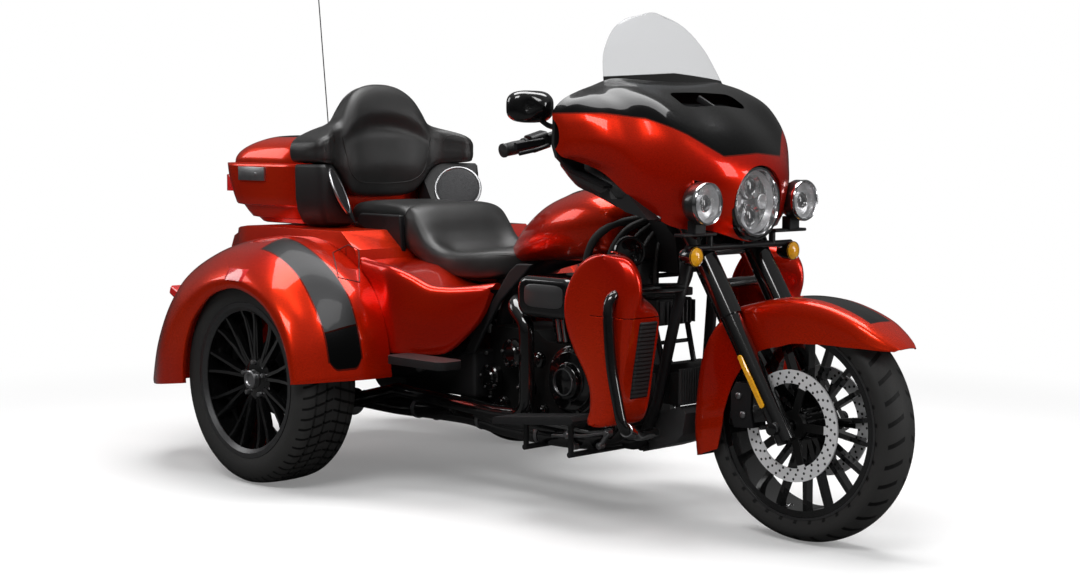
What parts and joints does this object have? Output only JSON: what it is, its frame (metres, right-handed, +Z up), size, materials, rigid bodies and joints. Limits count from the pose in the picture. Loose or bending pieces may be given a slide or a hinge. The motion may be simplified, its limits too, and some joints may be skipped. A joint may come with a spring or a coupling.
{
  "type": "motorized trike",
  "caption": "Touring trike with one steered front wheel, two rear wheels under wide fenders, a fork-mounted fairing, a lidded top case and a rear trunk.",
  "frame": {"origin": "on the ground under the middle of the overall length and width", "axes": "+X forward, +Y to the rider's left, +Z up"},
  "size_m": [2.6689, 1.39, 1.6354],
  "materials": {
    "body_paint": "deep candy orange-red metallic under clear lacquer",
    "black_paint": "gloss black lacquer",
    "frame_black": "gloss black powder coat",
    "engine_black": "satin black engine enamel with bright machined fin edges",
    "black_trim": "matt black moulded plastic",
    "exhaust_black": "satin black heat-resistant coating",
    "bright_steel": "ground steel",
    "chrome": "chromium plate",
    "black_alloy": "gloss black cast alloy with a bright machined lip",
    "tyre": "black rubber",
    "seat_leather": "black grained leather with stitched seams",
    "screen_glass": "lightly smoked clear screen",
    "lamp_glass": "clear lamp lens",
    "red_lens": "red lamp lens",
    "amber_lens": "amber lamp lens"
  },
  "bodies": {
    "chassis": {"frame": "frame_black", "rear_axle": "frame_black", "engine_case": "engine_black", "cylinders": "engine_black", "engine_covers": "engine_black", "air_cleaner": "engine_black", "exhaust": "exhaust_black", "mufflers": "exhaust_black", "oil_cooler": "black_trim", "chin_cover": "black_trim", "engine_guard": "frame_black", "lower_fairings": "body_paint", "rider_footboards": "frame_black", "passenger_footboards": "frame_black", "fuel_tank": "body_paint", "neck_cover": "black_trim", "rider_seat": "seat_leather", "passenger_seat": "seat_leather", "rear_body": "body_paint", "rear_fenders": "body_paint", "tail_lamps": "red_lens", "side_covers": "body_paint", "top_case_tub": "body_paint", "case_lamps": "red_lens", "antenna": "black_trim", "backrest": "seat_leather", "speaker_pods": "black_trim"},
    "steering": {"fork": "frame_black", "calipers": "black_alloy", "front_fender": "body_paint", "handlebar": "frame_black", "outer_fairing": "body_paint", "inner_fairing": "black_trim", "windshield": "screen_glass", "headlamp": "lamp_glass", "passing_lamps": "chrome", "turn_signals": "amber_lens", "mirrors": "black_paint"},
    "front_wheel": {"front_tyre": "tyre", "front_rim": "black_alloy", "brake_discs": "bright_steel"},
    "rear_wheel_left": {"rear_tyre_left": "tyre", "rear_rim_left": "black_alloy"},
    "rear_wheel_right": {"rear_tyre_right": "tyre", "rear_rim_right": "black_alloy"},
    "case_lid": {"top_case_lid": "body_paint"},
    "trunk_lid": {"trunk_door": "body_paint"}
  },
  "joints": [
    {"name": "steering_turn", "type": "hinge", "parent": "chassis", "child": "steering", "pos_m": [0.68711, 0, 0.865], "axis": [-0.4384, 0, 0.8988], "range_deg": [-30, 30]},
    {"name": "front_wheel_spin", "type": "hinge", "parent": "steering", "child": "front_wheel", "pos_m": [1.01, 0, 0.3193], "axis": [0, 1, 0], "continuous": true},
    {"name": "rear_left_wheel_spin", "type": "hinge", "parent": "chassis", "child": "rear_wheel_left", "pos_m": [-0.66, 0.5565, 0.3254], "axis": [0, 1, 0], "continuous": true},
    {"name": "rear_right_wheel_spin", "type": "hinge", "parent": "chassis", "child": "rear_wheel_right", "pos_m": [-0.66, -0.5565, 0.3254], "axis": [0, 1, 0], "continuous": true},
    {"name": "case_lid_hinge", "type": "hinge", "parent": "chassis", "child": "case_lid", "pos_m": [-1.04, 0.3125, 0.986], "axis": [-1, 0, 0], "range_deg": [0, 75]},
    {"name": "trunk_door_hinge", "type": "hinge", "parent": "chassis", "child": "trunk_lid", "pos_m": [-1.2588, 0, 0.399], "axis": [0, -1, 0], "range_deg": [0, 90]}
  ]
}
